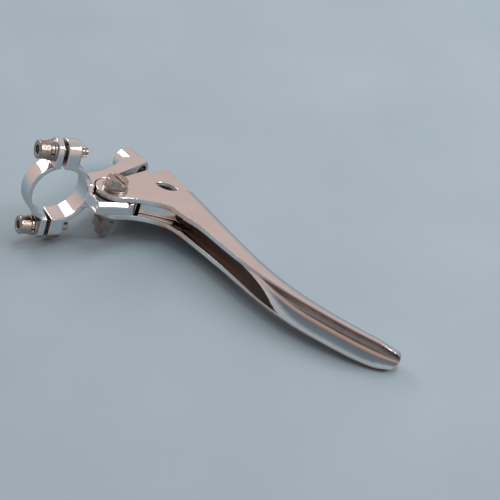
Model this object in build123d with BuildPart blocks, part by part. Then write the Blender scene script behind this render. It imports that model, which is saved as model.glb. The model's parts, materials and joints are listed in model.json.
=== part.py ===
"""Handlebar clutch lever: clamp bracket, forked lever blade, clamp band and their fasteners.

Frame: origin on the handlebar axis at the middle of the clamp, +X along the bar towards its open
end, +Y away from the bar towards the fingers, +Z along the pivot towards the bolt head.
"""
from build123d import *
from math import atan2, cos, degrees, hypot, radians, sin, sqrt
import os

os.makedirs("parts", exist_ok=True)

# Handlebar clamp
bar_r = 12.7              # one inch handlebar
clamp_width = 11.8
strap_width = 9.6         # the band between its ears
saddle_wall = 2.7
band_wall = 2.0
screw_z = 19.3
band_face_y = -2.9        # ear faces either side of the parting gap
saddle_face_y = -0.9
band_ear_t = 3.0
saddle_ear_t = 7.0
ear_rounding = 1.6

# Clamp screws, M5 socket cap
screw_r = 2.5
screw_hole_r = 2.75
screw_head_r = 4.25
screw_head_h = 5.0
screw_length = 19.0
socket_af = 4.0
socket_depth = 2.5
plain_washer_r = 5.0
plain_washer_t = 1.1
spring_washer_r = 4.6
spring_washer_t = 1.6
spring_washer_gap = 0.8

# Pivot
pivot_x = 7.6
pivot_y = 25.0
body_t = 11.6             # full thickness of the bracket plate and the lever
fork_plate_t = 2.6
tongue_t = 6.0
eye_r = 9.1
eye_gap = 0.45            # free gap between the fork eye and the bracket
bolt_r = 3.0
lever_hole_r = 3.07
bolt_head_af = 9.4
bolt_head_h = 4.2
bolt_slot_w = 1.5
bolt_slot_depth = 1.7
pivot_washer_r = 6.1
pivot_washer_t = 1.0
float_gap = 0.05          # running clearance of the washer and the nut on the fork
nut_af = 10.0
thin_nut_t = 3.8
lock_nut_hex_t = 5.0
lock_nut_collar_t = 3.2
lock_nut_collar_r = 4.5
insert_r = 3.7
insert_t = 2.0
nut_lip = 0.6             # metal turned over the end of the insert
bolt_recess = 1.6         # how far the bolt ends inside the lock nut

# Cable line from the bracket's barrel to the nipple hole, measured from the pivot
nipple_r = 6.0
nipple_at = (-5.6, 30.0)
barrel_mouth = (-40.8, 23.4)
barrel_r = 6.2
barrel_length = 18.0
adjuster_r = 4.0
cable_slot_t = 2.6
heel_step = 2.4           # how far the heel drops below the lever's top face

half_t = body_t / 2
slot_half = half_t - fork_plate_t
clamp_half = clamp_width / 2
gap_r = eye_r + eye_gap
cable_angle = degrees(atan2(nipple_at[1] - barrel_mouth[1], nipple_at[0] - barrel_mouth[0]))


def from_pivot(x, y):
    """Turn a plan point measured from the pivot into the part's own frame."""
    return (pivot_x + x, pivot_y + y)


def plan(*points):
    """Turn a run of plan points measured from the pivot into the part's own frame."""
    return [from_pivot(x, y) for x, y in points]


def ear_plane(y):
    """A plane across the clamp screws at height y, facing away from the bar."""
    return Plane((0, y, 0), x_dir=(1, 0, 0), z_dir=(0, 1, 0))


def finish(builder, name):
    """Label a finished piece and write it as its own STEP file."""
    builder.part.label = name
    export_step(builder.part, f"parts/{name}.step")


both_screws = [(0, -screw_z), (0, screw_z)]

# ---------------------------------------------------------------- bracket
tongue_x = 10.0           # outboard side of the tongue, from the pivot
tongue_top = 10.4
tongue_bevel = 1.7        # bevel along the upper outboard edge of the tongue
shoulder_end = -0.9       # the full thickness shoulder stops here on the eye's arc
lip = (-11.0, 7.0)        # end of the bracket edge that the resting lever lies along
apex = (-14.2, 8.2)       # blunt end of the gap between the bracket and the lever
barrel_plane = Plane((*from_pivot(*barrel_mouth), 0),
                     x_dir=(sin(radians(cable_angle)), -cos(radians(cable_angle)), 0),
                     z_dir=(cos(radians(cable_angle)), sin(radians(cable_angle)), 0))
shoulder_y = -sqrt(gap_r**2 - shoulder_end**2)

with BuildPart() as bracket:
    # half ring round the front of the bar
    with BuildSketch(Plane.YZ.offset(-clamp_half)):
        Circle(bar_r + saddle_wall)
        with Locations((saddle_face_y - 20, 0)):
            Rectangle(40, 60, mode=Mode.SUBTRACT)
    extrude(amount=clamp_width)
    # threaded ears with rounded backs
    with BuildSketch(ear_plane(saddle_face_y)):
        with Locations(both_screws):
            Circle(clamp_half)
        Rectangle(clamp_width, 2 * screw_z)
        Rectangle(clamp_width, 2 * bar_r, mode=Mode.SUBTRACT)
    extrude(amount=saddle_ear_t)
    ear_tops = bracket.edges().filter_by(GeomType.CIRCLE).filter_by(
        lambda e: abs(e.center().Y - saddle_face_y - saddle_ear_t) < 0.1)
    fillet(ear_tops, ear_rounding)
    # full thickness plate: shoulder, curved arm and the block behind the barrel
    with BuildSketch(Plane.XY.offset(-half_t)):
        with BuildLine():
            Polyline(*plan(lip, apex, (-27.0, 28.4), (-28.2, 29.6), (-33.0, 29.4), (-31.5, 17.6)))
            ThreePointArc(*plan((-31.5, 17.6), (-20.2, 5.6), (-12.9, -10.5)))
            Polyline(*plan((-12.9, -10.5), (-12.9, -15.5), (-1.7, -15.5), (shoulder_end, shoulder_y)))
            ThreePointArc(*plan((shoulder_end, shoulder_y), (-gap_r * cos(radians(45)),
                                -gap_r * sin(radians(45))), (-gap_r, 0)))
            Line(*plan((-gap_r, 0), lip))
        make_face()
    extrude(amount=body_t)
    # tongue between the fork plates
    with BuildSketch(Plane.XY.offset(-tongue_t / 2)):
        with BuildLine():
            Polyline(*plan((-10.5, -9.5), (-8.0, -12.2), (-1.7, -12.2), (tongue_x, -11.4),
                           (tongue_x, 4.4)))
            ThreePointArc(*plan((tongue_x, 4.4), (8.3, 8.6), (4.0, tongue_top)))
            Line(*plan((4.0, tongue_top), (-3.0, tongue_top)))
            ThreePointArc(*plan((-3.0, tongue_top), (-8.9, 7.6), (-10.5, 4.0)))
            Line(*plan((-10.5, 4.0), (-10.5, -9.5)))
        make_face()
    extrude(amount=tongue_t)
    with BuildSketch(Plane.XZ.offset(-pivot_y - 4.4)):
        with BuildLine():
            Polyline((pivot_x + tongue_x, tongue_t / 2), (pivot_x + tongue_x, tongue_t / 2 - tongue_bevel),
                     (pivot_x + tongue_x - tongue_bevel, tongue_t / 2),
                     (pivot_x + tongue_x, tongue_t / 2))
        make_face()
    extrude(amount=17, mode=Mode.SUBTRACT)
    # barrel for the cable adjuster, flush with the plate
    with BuildSketch(barrel_plane):
        Circle(barrel_r)
        Rectangle(4 * barrel_r, body_t, mode=Mode.INTERSECT)
    extrude(amount=barrel_length)
    # the outboard end of the barrel is cut along the slanted wall
    with BuildSketch(Plane.XY.offset(-half_t)):
        with BuildLine():
            Polyline(*plan(apex, (-27.0, 28.4), (-30.6, 34.0), (-15.0, 37.0), (-9.0, 14.0), apex))
        make_face()
    extrude(amount=body_t, mode=Mode.SUBTRACT)
    # bores: handlebar, adjuster thread, pivot, clamp screw threads
    with Locations(Location((0, 0, 0), (0, 90, 0))):
        Cylinder(bar_r, 80, mode=Mode.SUBTRACT)
    with BuildSketch(barrel_plane):
        Circle(adjuster_r)
    extrude(amount=40, mode=Mode.SUBTRACT)
    with Locations((pivot_x, pivot_y, 0)):
        Cylinder(bolt_r + 0.05, body_t, mode=Mode.SUBTRACT)
    with BuildSketch(ear_plane(saddle_face_y)):
        with Locations(both_screws):
            Circle(screw_r)
    extrude(amount=saddle_ear_t + 1, mode=Mode.SUBTRACT)
finish(bracket, "bracket")

# ---------------------------------------------------------------- clamp band
with BuildPart() as clamp_band:
    with BuildSketch(Plane.YZ.offset(-strap_width / 2)):
        Circle(bar_r + band_wall)
        Circle(bar_r, mode=Mode.SUBTRACT)
        with Locations((band_face_y + 20, 0)):
            Rectangle(40, 60, mode=Mode.SUBTRACT)
    extrude(amount=strap_width)
    with BuildSketch(ear_plane(band_face_y)):
        with Locations(both_screws):
            Circle(clamp_half)
        Rectangle(clamp_width, 2 * screw_z)
        Rectangle(clamp_width, 2 * bar_r + 0.4, mode=Mode.SUBTRACT)
    extrude(amount=-band_ear_t)
    with BuildSketch(ear_plane(band_face_y)):
        with Locations(both_screws):
            Circle(screw_hole_r)
    extrude(amount=-band_ear_t - 4, mode=Mode.SUBTRACT)
finish(clamp_band, "clamp_band")

# ---------------------------------------------------------------- clamp fasteners
ear_back_y = band_face_y - band_ear_t
washer_back_y = ear_back_y - plain_washer_t
spring_back_y = washer_back_y - spring_washer_t
head_back_y = spring_back_y - screw_head_h

for name, z in (("upper", screw_z), ("lower", -screw_z)):
    with BuildPart() as plain_washer:
        with BuildSketch(ear_plane(ear_back_y)):
            with Locations((0, -z)):
                Circle(plain_washer_r)
                Circle(screw_hole_r, mode=Mode.SUBTRACT)
        extrude(amount=-plain_washer_t)
    finish(plain_washer, f"{name}_plain_washer")

    with BuildPart() as spring_washer:
        with BuildSketch(ear_plane(washer_back_y)):
            with Locations((0, -z)):
                Circle(spring_washer_r)
                Circle(screw_hole_r, mode=Mode.SUBTRACT)
            with Locations((spring_washer_r - 1, -z)):
                Rectangle(4.0, spring_washer_gap, mode=Mode.SUBTRACT)
        extrude(amount=-spring_washer_t)
    finish(spring_washer, f"{name}_spring_washer")

    with BuildPart() as clamp_screw:
        with BuildSketch(ear_plane(head_back_y)):
            with Locations((0, -z)):
                Circle(screw_head_r)
        extrude(amount=screw_head_h)
        fillet(clamp_screw.faces().sort_by(Axis.Y)[0].edges(), 0.5)
        with BuildSketch(ear_plane(spring_back_y)):
            with Locations((0, -z)):
                Circle(screw_r)
        extrude(amount=screw_length)
        chamfer(clamp_screw.faces().sort_by(Axis.Y)[-1].edges(), 0.6)
        with BuildSketch(ear_plane(head_back_y)):
            with Locations((0, -z)):
                RegularPolygon(socket_af / 2, 6, major_radius=False)
        extrude(amount=socket_depth, mode=Mode.SUBTRACT)
    finish(clamp_screw, f"{name}_clamp_screw")

# ---------------------------------------------------------------- lever
slot_end_r = 13.4         # the fork slot ends on an arc about the pivot
heel_inner = (-10.15, 7.2)
heel_knee = (-18.2, 23.6)
heel_end = (-22.0, 32.6)
channel_lead = 4.0        # the channel cut starts this far outside the bar side
# Blade stations, from the pivot: bar side point, finger side point, half height, crown of the
# finger side, depth of the hollow open towards the bar, round of its floor, thickness of its lips
# and the slope of its floor at the lips. It is a deep channel that opens into a shallow trough.
blade_stations = (
    ((16.0, 22.8), (2.4, 44.5), half_t, 9.0, 7.5, 5.2, 2.6, 0),
    ((29.0, 28.2), (21.7, 45.8), half_t, 8.0, 9.0, 5.6, 2.5, 0),
    ((44.0, 32.2), (39.3, 47.2), half_t, 7.6, 9.0, 5.6, 2.4, 0),
    ((60.0, 36.0), (55.4, 49.2), half_t, 8.2, 8.2, 5.8, 2.1, 0),
    ((75.0, 40.4), (69.9, 51.8), half_t + 0.5, 9.6, 5.8, 5.4, 1.3, 14),
    ((90.0, 46.4), (84.6, 56.3), half_t + 0.9, 10.2, 3.8, 3.8, 0.7, 30),
    ((105.0, 55.0), (99.5, 63.1), half_t + 0.9, 9.2, 3.4, 3.4, 0.6, 34),
    ((118.2, 64.2), (112.5, 70.9), half_t + 0.7, 8.2, 3.2, 3.2, 0.6, 34),
    ((127.0, 72.5), (121.5, 77.4), half_t, 6.8, 2.8, 2.8, 0.6, 34),
    ((131.0, 77.8), (126.4, 81.6), half_t - 1.3, 5.2, 2.2, 2.2, 0.6, 34),
)
# The heel's end section: bar side point, finger side point, half height, crown
heel_section = ((-19.6, 26.8), (-25.4, 41.0), half_t, 7.5)


def station_plane(bar_pt, finger_pt):
    """Section plane at one station: x runs from the bar side to the finger side, y is up."""
    dx, dy = finger_pt[0] - bar_pt[0], finger_pt[1] - bar_pt[1]
    return Plane((*from_pivot(*bar_pt), 0), x_dir=(dx, dy, 0), z_dir=(dy, -dx, 0))


def blade_section(start, depth, half_h, crown, slope=0):
    """Closed section with a square bar side and a bulged finger side that starts at this slope."""
    run, rise = cos(radians(slope)), sin(radians(slope))
    fullness = 1.6 - slope / 60
    Polyline((depth - crown, half_h), (start, half_h), (start, -half_h), (depth - crown, -half_h))
    Spline((depth - crown, -half_h), (depth, 0), (depth - crown, half_h),
           tangents=((run, rise), (-run, rise)), tangent_scalars=(fullness, fullness))


with BuildPart() as lever:
    # fork eye and heel
    with BuildSketch(Plane.XY.offset(-half_t)):
        with Locations((pivot_x, pivot_y)):
            Circle(eye_r)
        with BuildLine():
            Polyline(*plan((-eye_r, 0), heel_inner, heel_knee, heel_end, (6.0, 36.0), (16.0, 22.8)))
            ThreePointArc(*plan((16.0, 22.8), (11.0, 14.0), (eye_r, 0)))
            Line(*plan((eye_r, 0), (-eye_r, 0)))
        make_face()
    extrude(amount=body_t)
    # rounded finger side of the heel
    for bar_pt, finger_pt, half_h, crown in (heel_section, blade_stations[0][:4]):
        depth = hypot(finger_pt[0] - bar_pt[0], finger_pt[1] - bar_pt[1])
        with BuildSketch(station_plane(bar_pt, finger_pt)):
            with BuildLine():
                blade_section(0, depth, half_h, crown)
            make_face()
    loft(ruled=True)
    # blade
    for bar_pt, finger_pt, half_h, crown, *_ in blade_stations:
        depth = hypot(finger_pt[0] - bar_pt[0], finger_pt[1] - bar_pt[1])
        with BuildSketch(station_plane(bar_pt, finger_pt)):
            with BuildLine():
                blade_section(0, depth, half_h, crown)
            make_face()
    loft()
    # channel along the bar side, open at the tip
    for bar_pt, finger_pt, half_h, _, hollow, floor_round, lip_t, slope in blade_stations:
        with BuildSketch(station_plane(bar_pt, finger_pt)):
            with BuildLine():
                blade_section(-channel_lead, hollow, half_h - lip_t, floor_round, slope)
            make_face()
    loft(mode=Mode.SUBTRACT)
    # fork slot, which runs out into the channel
    with BuildSketch(Plane.XY.offset(-slot_half)):
        with Locations((pivot_x, pivot_y)):
            Circle(slot_end_r)
        with Locations(from_pivot(0, -10)):
            Rectangle(2 * slot_end_r, 20)
        with BuildLine():
            Polyline(*plan((5.0, 5.0), (7.0, 13.5), (13.0, 28.0), (20.0, 31.5), (24.0, 22.0),
                           (12.0, 4.0), (5.0, 5.0)))
        make_face()
    extrude(amount=2 * slot_half, mode=Mode.SUBTRACT)
    # lowered heel beyond the nipple hole
    nipple_x, nipple_y = nipple_at
    with BuildSketch(Plane.XY.offset(half_t - heel_step)):
        with BuildLine():
            Polyline(*plan((-30, nipple_y - 4.8), (nipple_x, nipple_y - 4.8), (nipple_x + 5, nipple_y),
                           (nipple_x + 5, 48), (-30, 48), (-30, nipple_y - 4.8)))
        make_face()
    extrude(amount=heel_step + 1, mode=Mode.SUBTRACT)
    # cable slot from the heel and the finger side into the nipple hole
    with BuildSketch(Plane.XY.offset(-cable_slot_t / 2)):
        with BuildLine():
            Polyline(*plan((-30, nipple_y - 6), nipple_at, (nipple_x, 48), (-30, 48),
                           (-30, nipple_y - 6)))
        make_face()
    extrude(amount=cable_slot_t, mode=Mode.SUBTRACT)
    with Locations((*from_pivot(*nipple_at), 0)):
        Cylinder(nipple_r, body_t + 2, mode=Mode.SUBTRACT)
    with Locations((pivot_x, pivot_y, 0)):
        Cylinder(lever_hole_r, body_t + 2, mode=Mode.SUBTRACT)
finish(lever, "lever")

# ---------------------------------------------------------------- pivot hardware
washer_z = half_t + float_gap
head_z = washer_z + pivot_washer_t
head_top_z = head_z + bolt_head_h
thin_nut_z = -half_t - float_gap
lock_nut_z = thin_nut_z - thin_nut_t
collar_z = lock_nut_z - lock_nut_hex_t
nut_end_z = collar_z - lock_nut_collar_t
bolt_end_z = nut_end_z + bolt_recess


def turned(angle):
    """The pivot axis in plan, turned for a hexagon that has stopped at this angle."""
    return Locations(Location((pivot_x, pivot_y, 0), (0, 0, angle)))


with BuildPart() as pivot_washer:
    with BuildSketch(Plane.XY.offset(washer_z)):
        with turned(0):
            Circle(pivot_washer_r)
            Circle(bolt_r + 0.2, mode=Mode.SUBTRACT)
    extrude(amount=pivot_washer_t)
finish(pivot_washer, "pivot_washer")

with BuildPart() as pivot_bolt:
    with BuildSketch(Plane.XY.offset(head_z)):
        with turned(12):
            RegularPolygon(bolt_head_af / 2, 6, major_radius=False)
    extrude(amount=bolt_head_h)
    # the corners of the head are turned down
    with BuildSketch(Plane((pivot_x, pivot_y, head_top_z), x_dir=(1, 0, 0), z_dir=(0, -1, 0))):
        with BuildLine():
            Polyline((4.3, 0), (7, 0), (7, -1.5), (4.3, 0))
        make_face()
    revolve(axis=Axis((pivot_x, pivot_y, 0), (0, 0, 1)), mode=Mode.SUBTRACT)
    with BuildSketch(Plane.XY.offset(head_top_z - bolt_slot_depth)):
        with turned(12):
            Rectangle(14, bolt_slot_w)
    extrude(amount=bolt_slot_depth + 1, mode=Mode.SUBTRACT)
    with BuildSketch(Plane.XY.offset(bolt_end_z)):
        with turned(0):
            Circle(bolt_r)
    extrude(amount=head_z - bolt_end_z)
    chamfer(pivot_bolt.faces().sort_by(Axis.Z)[0].edges(), 0.7)
finish(pivot_bolt, "pivot_bolt")

with BuildPart() as pivot_nut:
    with BuildSketch(Plane.XY.offset(thin_nut_z)):
        with turned(20):
            RegularPolygon(nut_af / 2, 6, major_radius=False)
            Circle(bolt_r, mode=Mode.SUBTRACT)
    extrude(amount=-thin_nut_t)
finish(pivot_nut, "pivot_nut")

with BuildPart() as lock_nut:
    with BuildSketch(Plane.XY.offset(lock_nut_z)):
        with turned(5):
            RegularPolygon(nut_af / 2, 6, major_radius=False)
    extrude(amount=-lock_nut_hex_t)
    with BuildSketch(Plane.XY.offset(collar_z)):
        with turned(0):
            Circle(lock_nut_collar_r)
    extrude(amount=-lock_nut_collar_t)
    fillet(lock_nut.faces().sort_by(Axis.Z)[0].edges(), 1.2)
    with Locations((pivot_x, pivot_y, lock_nut_z)):
        Cylinder(bolt_r, 40, mode=Mode.SUBTRACT)
    with BuildSketch(Plane.XY.offset(nut_end_z + nut_lip)):
        with turned(0):
            Circle(insert_r)
    extrude(amount=insert_t, mode=Mode.SUBTRACT)
finish(lock_nut, "lock_nut")

with BuildPart() as lock_nut_insert:
    with BuildSketch(Plane.XY.offset(nut_end_z + nut_lip)):
        with turned(0):
            Circle(insert_r)
            Circle(bolt_r, mode=Mode.SUBTRACT)
    extrude(amount=insert_t)
finish(lock_nut_insert, "lock_nut_insert")
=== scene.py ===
"""Looks for the handlebar clutch lever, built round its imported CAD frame."""
import json
import math

import bmesh
import bpy
import numpy as np
from mathutils import Matrix, Vector


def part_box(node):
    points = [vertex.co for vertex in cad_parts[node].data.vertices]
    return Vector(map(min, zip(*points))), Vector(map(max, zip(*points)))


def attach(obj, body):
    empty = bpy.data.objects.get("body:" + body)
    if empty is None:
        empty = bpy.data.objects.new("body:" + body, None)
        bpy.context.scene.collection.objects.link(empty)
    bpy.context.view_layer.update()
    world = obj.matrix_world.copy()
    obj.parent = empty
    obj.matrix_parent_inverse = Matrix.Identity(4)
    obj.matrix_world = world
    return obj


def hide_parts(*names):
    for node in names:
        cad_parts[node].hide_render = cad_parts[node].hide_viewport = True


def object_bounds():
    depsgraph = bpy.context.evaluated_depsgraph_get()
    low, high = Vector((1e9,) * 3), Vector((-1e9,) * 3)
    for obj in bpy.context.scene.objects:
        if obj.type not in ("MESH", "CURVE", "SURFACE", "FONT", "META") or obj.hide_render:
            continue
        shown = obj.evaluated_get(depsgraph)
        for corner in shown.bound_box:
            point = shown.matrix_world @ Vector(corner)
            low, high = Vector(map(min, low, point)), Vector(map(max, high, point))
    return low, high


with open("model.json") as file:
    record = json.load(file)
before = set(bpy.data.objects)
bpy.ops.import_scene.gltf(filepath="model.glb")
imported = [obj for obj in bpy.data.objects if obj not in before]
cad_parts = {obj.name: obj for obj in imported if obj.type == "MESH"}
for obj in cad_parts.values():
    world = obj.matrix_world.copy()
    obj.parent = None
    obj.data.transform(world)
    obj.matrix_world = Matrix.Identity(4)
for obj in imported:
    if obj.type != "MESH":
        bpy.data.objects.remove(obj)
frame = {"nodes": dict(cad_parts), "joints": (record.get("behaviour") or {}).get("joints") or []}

box_low, box_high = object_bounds()
scene = bpy.context.scene
centre = (box_low + box_high) / 2
pivot = Vector(frame["joints"][0]["pos_m"])


# ---------------------------------------------------------------- materials
# Lengths are in metres. Colour stops are (position, linear RGB).
HOLLOW_REACH = 0.011      # how far a hollow looks for its walls
BRIGHT = [(0.3, (0.84, 0.83, 0.83)), (0.7, (0.90, 0.89, 0.89))]
# Painted dark reflection and shade for chrome hollows, from the plate colour to dark brown.
PAINTED_DARK_REFLECTION = [(0.0, (0.90, 0.84, 0.80)), (0.4, (0.66, 0.47, 0.39)),
                 (0.75, (0.26, 0.18, 0.15)), (1.0, (0.13, 0.095, 0.08))]
WORN_STEEL = [(0.3, (0.70, 0.66, 0.62)), (0.7, (0.80, 0.77, 0.74))]
NYLON = [(0.3, (0.32, 0.29, 0.24)), (0.7, (0.42, 0.38, 0.32))]


def new_material(name):
    """An empty node material with a Principled shader on its output."""
    mat = bpy.data.materials.new(name)
    mat.use_nodes = True
    tree = mat.node_tree
    tree.nodes.clear()
    out = tree.nodes.new("ShaderNodeOutputMaterial")
    shader = tree.nodes.new("ShaderNodeBsdfPrincipled")
    tree.links.new(shader.outputs["BSDF"], out.inputs["Surface"])
    return mat, tree, shader


def noise(tree, scale, detail=4.0, roughness=0.5):
    """A noise texture in the object's own metres."""
    coords = tree.nodes.new("ShaderNodeTexCoord")
    tex = tree.nodes.new("ShaderNodeTexNoise")
    tex.inputs["Scale"].default_value = scale
    tex.inputs["Detail"].default_value = detail
    tex.inputs["Roughness"].default_value = roughness
    tree.links.new(coords.outputs["Object"], tex.inputs["Vector"])
    return tex.outputs["Fac"]


def ramp(tree, fac, stops):
    """A colour ramp from (position, colour) stops."""
    node = tree.nodes.new("ShaderNodeValToRGB")
    while len(node.color_ramp.elements) < len(stops):
        node.color_ramp.elements.new(0.5)
    for element, (pos, colour) in zip(node.color_ramp.elements, stops):
        element.position = pos
        element.color = (*colour, 1)
    tree.links.new(fac, node.inputs["Fac"])
    return node.outputs["Color"]


def to_range(tree, fac, low, high):
    """A 0 to 1 value stretched to low to high."""
    node = tree.nodes.new("ShaderNodeMapRange")
    node.inputs["To Min"].default_value = low
    node.inputs["To Max"].default_value = high
    tree.links.new(fac, node.inputs["Value"])
    return node.outputs["Result"]


def bump(tree, fac, distance, strength=1.0):
    """A bump from a height field, distance in metres."""
    node = tree.nodes.new("ShaderNodeBump")
    node.inputs["Strength"].default_value = strength
    node.inputs["Distance"].default_value = distance
    tree.links.new(fac, node.inputs["Height"])
    return node.outputs["Normal"]


def mix_colour(tree, fac, first, second):
    """Two colours mixed by a 0 to 1 value."""
    node = tree.nodes.new("ShaderNodeMix")
    node.data_type = "RGBA"
    tree.links.new(fac, node.inputs["Factor"])
    tree.links.new(first, node.inputs[6])
    tree.links.new(second, node.inputs[7])
    return node.outputs[2]


def edges(tree, low, high):
    """0 on flats and hollows, rising to 1 on worn outside edges."""
    geometry = tree.nodes.new("ShaderNodeNewGeometry")
    node = tree.nodes.new("ShaderNodeMapRange")
    node.inputs["From Min"].default_value = low
    node.inputs["From Max"].default_value = high
    tree.links.new(geometry.outputs["Pointiness"], node.inputs["Value"])
    return node.outputs["Result"]


def recess(tree, distance):
    """1 on open faces, falling to 0 deep in a hollow."""
    node = tree.nodes.new("ShaderNodeAmbientOcclusion")
    node.samples = 12
    node.inputs["Distance"].default_value = distance
    return node.outputs["AO"]


def combine(tree, operation, first, second):
    """Two values put together by a math operation."""
    node = tree.nodes.new("ShaderNodeMath")
    node.operation = operation
    tree.links.new(first, node.inputs[0])
    tree.links.new(second, node.inputs[1])
    return node.outputs["Value"]


def window(tree, value, start, end):
    """0 at start, 1 at end, held outside them."""
    node = tree.nodes.new("ShaderNodeMapRange")
    node.interpolation_type = "SMOOTHSTEP"
    node.inputs["From Min"].default_value = start
    node.inputs["From Max"].default_value = end
    tree.links.new(value, node.inputs["Value"])
    return node.outputs["Result"]


def facing_up(tree):
    """The upward part of the surface's own normal: 1 facing up, -1 facing down."""
    coords = tree.nodes.new("ShaderNodeTexCoord")
    parts = tree.nodes.new("ShaderNodeSeparateXYZ")
    tree.links.new(coords.outputs["Normal"], parts.inputs["Vector"])
    return parts.outputs["Z"]


def chrome(name, lip_shade):
    """Polished plating over a cast blank, with faint waviness and scuffs. Shut-in hollows, and
    faces that look down under a lip, get a painted dark brown reflection and painted shade. This
    stands in for the dark room that they would mirror. lip_shade is how open such a face is where
    the painted shade begins and where it is full."""
    mat, tree, shader = new_material(name)
    shader.inputs["Metallic"].default_value = 1.0
    open_share = recess(tree, HOLLOW_REACH)
    # Painted shade on faces that look down under a lip, by how open they are.
    painted_lip_shade = combine(tree, "MULTIPLY", window(tree, facing_up(tree), 0.08, -0.45),
                     window(tree, open_share, *lip_shade))
    # Painted shade deep in hollows.
    painted_hollow_shade = window(tree, open_share, 0.40, 0.22)
    dark = combine(tree, "MAXIMUM", painted_lip_shade, painted_hollow_shade)
    plate = ramp(tree, noise(tree, 70), BRIGHT)
    # Painted dark brown reflection, mixed over the plate colour where the painted shade is.
    painted_reflection = ramp(tree, dark, PAINTED_DARK_REFLECTION)
    tree.links.new(mix_colour(tree, window(tree, dark, 0.0, 0.25), plate, painted_reflection),
                   shader.inputs["Base Color"])
    scuffs = to_range(tree, noise(tree, 320, 6.0, 0.6), 0.04, 0.11)
    dull = to_range(tree, dark, 0.0, 0.14)
    tree.links.new(combine(tree, "ADD", scuffs, dull), shader.inputs["Roughness"])
    tree.links.new(bump(tree, noise(tree, 110, 2.0), 0.00006), shader.inputs["Normal"])
    return mat


def steel(name, dark, light, rough):
    """Turned and plated steel: fine grain, with brighter worn edges."""
    mat, tree, shader = new_material(name)
    shader.inputs["Metallic"].default_value = 1.0
    grain = ramp(tree, noise(tree, 600, 5.0, 0.6), [(0.3, dark), (0.7, light)])
    worn = ramp(tree, noise(tree, 900), WORN_STEEL)
    tree.links.new(mix_colour(tree, edges(tree, 0.52, 0.62), grain, worn),
                   shader.inputs["Base Color"])
    tree.links.new(to_range(tree, noise(tree, 1200, 5.0, 0.65), rough - 0.06, rough + 0.08),
                   shader.inputs["Roughness"])
    tree.links.new(bump(tree, noise(tree, 1500, 3.0), 0.00001), shader.inputs["Normal"])
    return mat


def polymer():
    """The lock nut's nylon ring."""
    mat, tree, shader = new_material("nylon_insert")
    tree.links.new(ramp(tree, noise(tree, 500), NYLON), shader.inputs["Base Color"])
    tree.links.new(to_range(tree, noise(tree, 900), 0.45, 0.62), shader.inputs["Roughness"])
    return mat


chrome_mat = chrome("polished_chrome", (0.86, 0.60))
# The blade's painted shade starts on more open faces than on the other chrome.
blade_mat = chrome("blade_chrome", (0.97, 0.80))
screw_mat = steel("bright_screw_steel", (0.44, 0.38, 0.34), (0.58, 0.51, 0.46), 0.17)
washer_mat = steel("zinc_washer", (0.40, 0.37, 0.34), (0.54, 0.50, 0.46), 0.22)
nut_mat = steel("dark_nut_steel", (0.20, 0.18, 0.17), (0.34, 0.31, 0.29), 0.20)
nylon_mat = polymer()


# ---------------------------------------------------------------- pieces
WELD = 1e-6               # points nearer than this become one
ON_SHANK = 0.0003         # how far from its nominal radius a point still belongs to a thread
SMALL_VOXEL = 0.00016     # for washers, bolt and nuts
SCREW_VOXEL = 0.00014

# clamp screws: M5 socket caps, along Y with the head at the low end
CAP_HEIGHT = 0.0048
SCREW_R, SCREW_PITCH, SCREW_DEPTH = 0.0025, 0.0008, 0.0003
KNURLS, KNURL_DEPTH = 48, 0.00005

# pivot bolt: M6, along Z with the head at the high end
BOLT_R, BOLT_PITCH, BOLT_DEPTH = 0.003, 0.001, 0.00035
BOLT_THREAD_END = 0.014   # how far the thread runs up from the bolt's low end

# blade tip: its way, the length that is reshaped, and the most that the rims go back
TIP_WAY, TIP_LENGTH, TIP_PULL = (0.637, 0.771, 0.0), 0.011, 0.0045
TIP_FACE = 0.0015         # the last of the blade, where its height is taken


def get_points(mesh):
    """A mesh's points as an array."""
    points = np.zeros(len(mesh.vertices) * 3, np.float32)
    mesh.vertices.foreach_get("co", points)
    return points.reshape(-1, 3).astype(float)


def set_points(mesh, points):
    """Moves a mesh's points to the places in an array."""
    mesh.vertices.foreach_set("co", points.astype(np.float32).ravel())
    mesh.update()


def softened(node, piece, body, voxel, passes, mat):
    """A rounded-edge copy of a CAD node that stands in its place: remeshed with this voxel,
    smoothed this many times, and kept in the node's box."""
    mesh = frame["nodes"][node].data.copy()
    work = bmesh.new()
    work.from_mesh(mesh)
    bmesh.ops.remove_doubles(work, verts=work.verts, dist=WELD)
    work.to_mesh(mesh)
    work.free()
    rough = bpy.data.objects.new(piece + "_rough", mesh)
    scene.collection.objects.link(rough)
    remesh = rough.modifiers.new("remesh", "REMESH")
    remesh.mode = "VOXEL"
    remesh.voxel_size = voxel
    smooth = rough.modifiers.new("smooth", "SMOOTH")
    smooth.factor = 0.5
    smooth.iterations = passes
    graph = bpy.context.evaluated_depsgraph_get()
    final = bpy.data.meshes.new_from_object(rough.evaluated_get(graph))
    final.name = piece
    bpy.data.objects.remove(rough)
    points = get_points(final)
    low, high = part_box(node)
    set_points(final, np.clip(points, np.array(low), np.array(high)))
    final.materials.clear()
    final.materials.append(mat)
    final.polygons.foreach_set("use_smooth", np.ones(len(final.polygons), bool))
    obj = bpy.data.objects.new(piece, final)
    scene.collection.objects.link(obj)
    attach(obj, body)
    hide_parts(node)
    return obj


def cut_round(obj, axis, centre, depth_at):
    """Moves points towards an axis by depth_at(along, angle, radius): threads and knurls."""
    points = get_points(obj.data)
    across = [i for i in range(3) if i != axis]
    offset = points[:, across] - np.array([centre[i] for i in across])
    radius = np.hypot(offset[:, 0], offset[:, 1])
    angle = np.arctan2(offset[:, 1], offset[:, 0])
    depth = depth_at(points[:, axis], angle, radius)
    keep = (radius - depth) / np.maximum(radius, 1e-6)
    points[:, across[0]] = centre[across[0]] + offset[:, 0] * keep
    points[:, across[1]] = centre[across[1]] + offset[:, 1] * keep
    set_points(obj.data, points)


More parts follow.
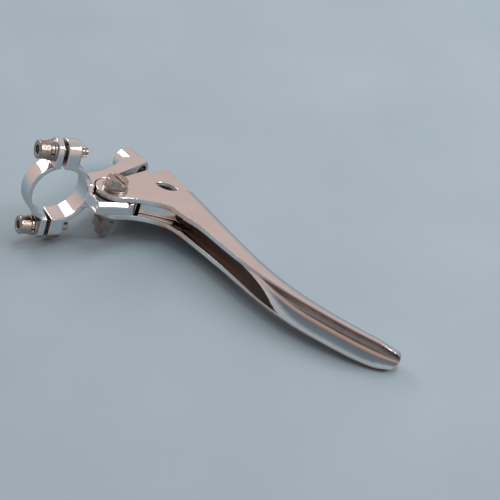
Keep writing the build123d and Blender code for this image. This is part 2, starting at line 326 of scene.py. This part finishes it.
def thread(pitch, depth, radius, low, high):
    """A helical thread on a shank of this radius between two places along it."""
    def depth_at(along, angle, r):
        phase = (along / pitch + angle / (2 * np.pi)) % 1.0
        groove = 1.0 - np.abs(2 * phase - 1)
        on = (np.abs(r - radius) < ON_SHANK) & (along > low) & (along < high)
        return np.where(on, depth * groove, 0.0)
    return depth_at


def round_tip(obj, way, length, pull):
    """Rounds the far end along a way: over the last length, points go back by up to pull, most at
    the two rims, so that the outline there is a curve."""
    points = get_points(obj.data)
    way = np.array(way) / np.linalg.norm(way)
    reach = points @ way
    left = reach.max() - reach
    end = left < TIP_FACE
    low, high = points[end, 2].min(), points[end, 2].max()
    offset = np.clip(np.abs(points[:, 2] - (low + high) / 2) / ((high - low) / 2), 0.0, 1.0)
    back = pull * offset ** 2.5 * np.clip(1.0 - left / length, 0.0, 1.0)
    set_points(obj.data, points - back[:, None] * way)


casting = softened("lever", "lever_casting", "lever", 0.00024, 9, blade_mat)
round_tip(casting, TIP_WAY, TIP_LENGTH, TIP_PULL)
softened("bracket", "bracket_casting", "mount", 0.00030, 6, chrome_mat)
softened("clamp_band", "clamp_band_casting", "mount", 0.00025, 5, chrome_mat)
for side in ("upper", "lower"):
    softened(side + "_plain_washer", side + "_washer_soft", "mount", SMALL_VOXEL, 3, washer_mat)
    softened(side + "_spring_washer", side + "_split_washer_soft", "mount", SMALL_VOXEL, 3,
             washer_mat)
    screw = softened(side + "_clamp_screw", side + "_socket_screw", "mount", SCREW_VOXEL, 3,
                     screw_mat)
    low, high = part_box(side + "_clamp_screw")
    middle = (low + high) / 2
    head_r = (high.x - low.x) / 2
    head_end = low.y + CAP_HEIGHT

    def knurl(along, angle, radius):
        """Fine grooves round the cap, clear of its outer rim."""
        on = (radius > head_r - 0.0003) & (along > low.y + 0.0007) & (along < head_end)
        return np.where(on, KNURL_DEPTH * (0.5 + 0.5 * np.cos(angle * KNURLS)), 0.0)

    cut_round(screw, 1, middle, knurl)
    cut_round(screw, 1, middle, thread(SCREW_PITCH, SCREW_DEPTH, SCREW_R,
                                       head_end + 0.0004, high.y - 0.0006))
softened("pivot_washer", "pivot_washer_soft", "mount", SMALL_VOXEL, 3, washer_mat)
bolt = softened("pivot_bolt", "pivot_bolt_soft", "mount", SMALL_VOXEL, 3, screw_mat)
low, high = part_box("pivot_bolt")
cut_round(bolt, 2, pivot, thread(BOLT_PITCH, BOLT_DEPTH, BOLT_R,
                                 low.z + 0.0007, low.z + BOLT_THREAD_END))
softened("pivot_nut", "pivot_nut_soft", "mount", SMALL_VOXEL, 3, nut_mat)
softened("lock_nut", "lock_nut_soft", "mount", SMALL_VOXEL, 3, nut_mat)
softened("lock_nut_insert", "nylon_ring", "mount", SMALL_VOXEL, 2, nylon_mat)


# ---------------------------------------------------------------- stage
TABLE_R = 0.95
TABLE_BACK = 0.65         # how far behind the object the table's middle lies
TABLE_GAP = 0.0002        # the table's distance under the object
FADE_START = 0.78
RIM_POINTS = 96
TABLE_DARK, TABLE_LIGHT = (0.325, 0.40, 0.445), (0.36, 0.435, 0.48)
DARK_WAY = (0.40, -0.91, 0.05)      # the dark end of the room
# colours by height: 0 straight down, 0.5 level with the table, 1 overhead
FAR_STOPS = [(0.20, (0.20, 0.25, 0.28)), (0.40, (0.30, 0.365, 0.41)), (0.47, (0.40, 0.42, 0.44)),
             (0.52, (0.55, 0.43, 0.40)), (0.70, (0.62, 0.50, 0.47)), (0.84, (0.50, 0.46, 0.45)),
             (1.0, (0.34, 0.38, 0.42))]
NEAR_STOPS = [(0.10, (0.02, 0.015, 0.015)), (0.30, (0.06, 0.04, 0.035)),
              (0.36, (0.13, 0.095, 0.08)), (0.43, (0.40, 0.27, 0.22)), (0.52, (0.46, 0.31, 0.26)),
              (0.60, (0.30, 0.21, 0.18)), (0.67, (0.15, 0.15, 0.16)), (0.76, (0.12, 0.15, 0.17)),
              (1.0, (0.16, 0.20, 0.235))]
BACKDROP = (0.41, 0.475, 0.525)


def resting_plane():
    """The face that the object lies on: the largest face of its hull that looks down."""
    cloud = bmesh.new()
    for node in frame["nodes"].values():
        for vertex in node.data.vertices:
            cloud.verts.new(vertex.co)
    bmesh.ops.convex_hull(cloud, input=cloud.verts)
    face = max((f for f in cloud.faces if f.normal.z < -0.8), key=lambda f: f.calc_area())
    point, normal = face.calc_center_median(), -face.normal
    cloud.free()
    return point, normal


rest_point, up = resting_plane()
to_camera = Vector((0.72, -0.55, 0.42))
toward = (to_camera - up * to_camera.dot(up)).normalized()


def table():
    """A large, plain, pale blue-grey round table top under the object, fading out at its rim.
    It reaches further behind the object than in front of it."""
    mesh = bpy.data.meshes.new("table")
    side = up.cross(toward)
    hub = rest_point - up * TABLE_GAP - toward * TABLE_BACK
    angles = [2 * math.pi * i / RIM_POINTS for i in range(RIM_POINTS)]
    ring = [hub + (toward * math.cos(a) + side * math.sin(a)) * TABLE_R for a in angles]
    mesh.from_pydata(ring, [], [list(range(RIM_POINTS))])
    obj = bpy.data.objects.new("table", mesh)
    scene.collection.objects.link(obj)
    mat, tree, shader = new_material("pale_table")
    tree.links.new(ramp(tree, noise(tree, 14, 3.0), [(0.25, TABLE_DARK), (0.75, TABLE_LIGHT)]),
                   shader.inputs["Base Color"])
    tree.links.new(to_range(tree, noise(tree, 40), 0.62, 0.74), shader.inputs["Roughness"])
    tree.links.new(bump(tree, noise(tree, 900, 4.0), 0.00003), shader.inputs["Normal"])
    # only its top face is solid, and it fades out towards the rim
    coords = tree.nodes.new("ShaderNodeTexCoord")
    away = tree.nodes.new("ShaderNodeVectorMath")
    away.operation = "DISTANCE"
    away.inputs[1].default_value = hub
    tree.links.new(coords.outputs["Object"], away.inputs[0])
    geometry = tree.nodes.new("ShaderNodeNewGeometry")
    front = tree.nodes.new("ShaderNodeMath")
    front.operation = "SUBTRACT"
    front.use_clamp = True
    tree.links.new(window(tree, away.outputs["Value"], TABLE_R, FADE_START), front.inputs[0])
    tree.links.new(geometry.outputs["Backfacing"], front.inputs[1])
    tree.links.new(front.outputs["Value"], shader.inputs["Alpha"])
    mesh.materials.append(mat)
    obj.visible_glossy = False      # the room's lower half stands for it in polished metal


table()


def area_light(name, direction, distance, size, power, colour):
    """A softbox that looks at the middle of the object and isn't seen itself."""
    data = bpy.data.lights.new(name, "AREA")
    data.shape = "RECTANGLE"
    data.size, data.size_y = size
    data.energy = power
    data.color = colour
    obj = bpy.data.objects.new(name, data)
    way = Vector(direction).normalized()
    obj.location = centre + way * distance
    obj.rotation_mode = "QUATERNION"
    obj.rotation_quaternion = (-way).to_track_quat("-Z", "Y")
    obj.visible_camera = False
    scene.collection.objects.link(obj)
    return obj


def studio():
    """The room as the object sees it: warm walls with a darker side, and a grey ceiling. The
    camera sees only a plain backdrop."""
    world = bpy.data.worlds.new("studio")
    scene.view_settings.view_transform = "Standard"
    world.use_nodes = True
    scene.world = world
    tree = world.node_tree
    tree.nodes.clear()
    out = tree.nodes.new("ShaderNodeOutputWorld")
    coords = tree.nodes.new("ShaderNodeTexCoord")

    def along(direction, low, high):
        """0 to 1 by how far a view of the room points in a direction."""
        dot = tree.nodes.new("ShaderNodeVectorMath")
        dot.operation = "DOT_PRODUCT"
        dot.inputs[1].default_value = direction
        tree.links.new(coords.outputs["Generated"], dot.inputs[0])
        node = tree.nodes.new("ShaderNodeMapRange")
        node.inputs["From Min"].default_value = low
        node.inputs["From Max"].default_value = high
        tree.links.new(dot.outputs["Value"], node.inputs["Value"])
        return node.outputs["Result"]

    height = along(up, -1.0, 1.0)
    far_side = ramp(tree, height, FAR_STOPS)
    near_side = ramp(tree, height, NEAR_STOPS)
    room = mix_colour(tree, along(DARK_WAY, 0.50, 0.76), far_side, near_side)
    seen = tree.nodes.new("ShaderNodeBackground")
    seen.inputs["Color"].default_value = (*BACKDROP, 1)
    lit = tree.nodes.new("ShaderNodeBackground")
    tree.links.new(room, lit.inputs["Color"])
    path = tree.nodes.new("ShaderNodeLightPath")
    both = tree.nodes.new("ShaderNodeMixShader")
    tree.links.new(path.outputs["Is Camera Ray"], both.inputs["Fac"])
    tree.links.new(lit.outputs["Background"], both.inputs[1])
    tree.links.new(seen.outputs["Background"], both.inputs[2])
    tree.links.new(both.outputs["Shader"], out.inputs["Surface"])


studio()
area_light("softbox_right", (0.42, 0.55, 0.72), 1.2, (0.50, 0.36), 6.0, (1.0, 0.99, 0.97))
area_light("softbox_left", (-0.72, -0.40, 0.55), 1.2, (0.60, 0.45), 3.0, (1.0, 0.98, 0.96))
overhead = area_light("overhead", (-0.1, 0.1, 1.0), 1.4, (0.7, 0.7), 7.5, (0.97, 0.99, 1.0))
overhead.visible_glossy = False


# ---------------------------------------------------------------- camera
CAMERA_AZIMUTH, CAMERA_ELEVATION, CAMERA_ROLL = 52.6, 25.1, -19.4      # degrees
CAMERA_DISTANCE = 0.5494
AIM_FROM_PIVOT = (0.0341, 0.0530, 0.0109)


def camera():
    """The photograph's view: a long lens, a little above the object, rolled to the left."""
    data = bpy.data.cameras.new("camera")
    data.sensor_width = 36.0
    data.lens = 86.4
    data.shift_y = -0.061
    obj = bpy.data.objects.new("camera", data)
    scene.collection.objects.link(obj)
    azimuth, elevation = math.radians(CAMERA_AZIMUTH), math.radians(CAMERA_ELEVATION)
    roll = math.radians(CAMERA_ROLL)
    aim = pivot + Vector(AIM_FROM_PIVOT)
    back = Vector((math.sin(azimuth) * math.cos(elevation),
                   -math.cos(azimuth) * math.cos(elevation), math.sin(elevation)))
    turn = (-back).to_track_quat("-Z", "Y").to_matrix() @ Matrix.Rotation(-roll, 3, "Z")
    obj.matrix_world = Matrix.Translation(aim + back * CAMERA_DISTANCE) @ turn.to_4x4()
    data.clip_start, data.clip_end = 0.01, 50
    scene.camera = obj


camera()
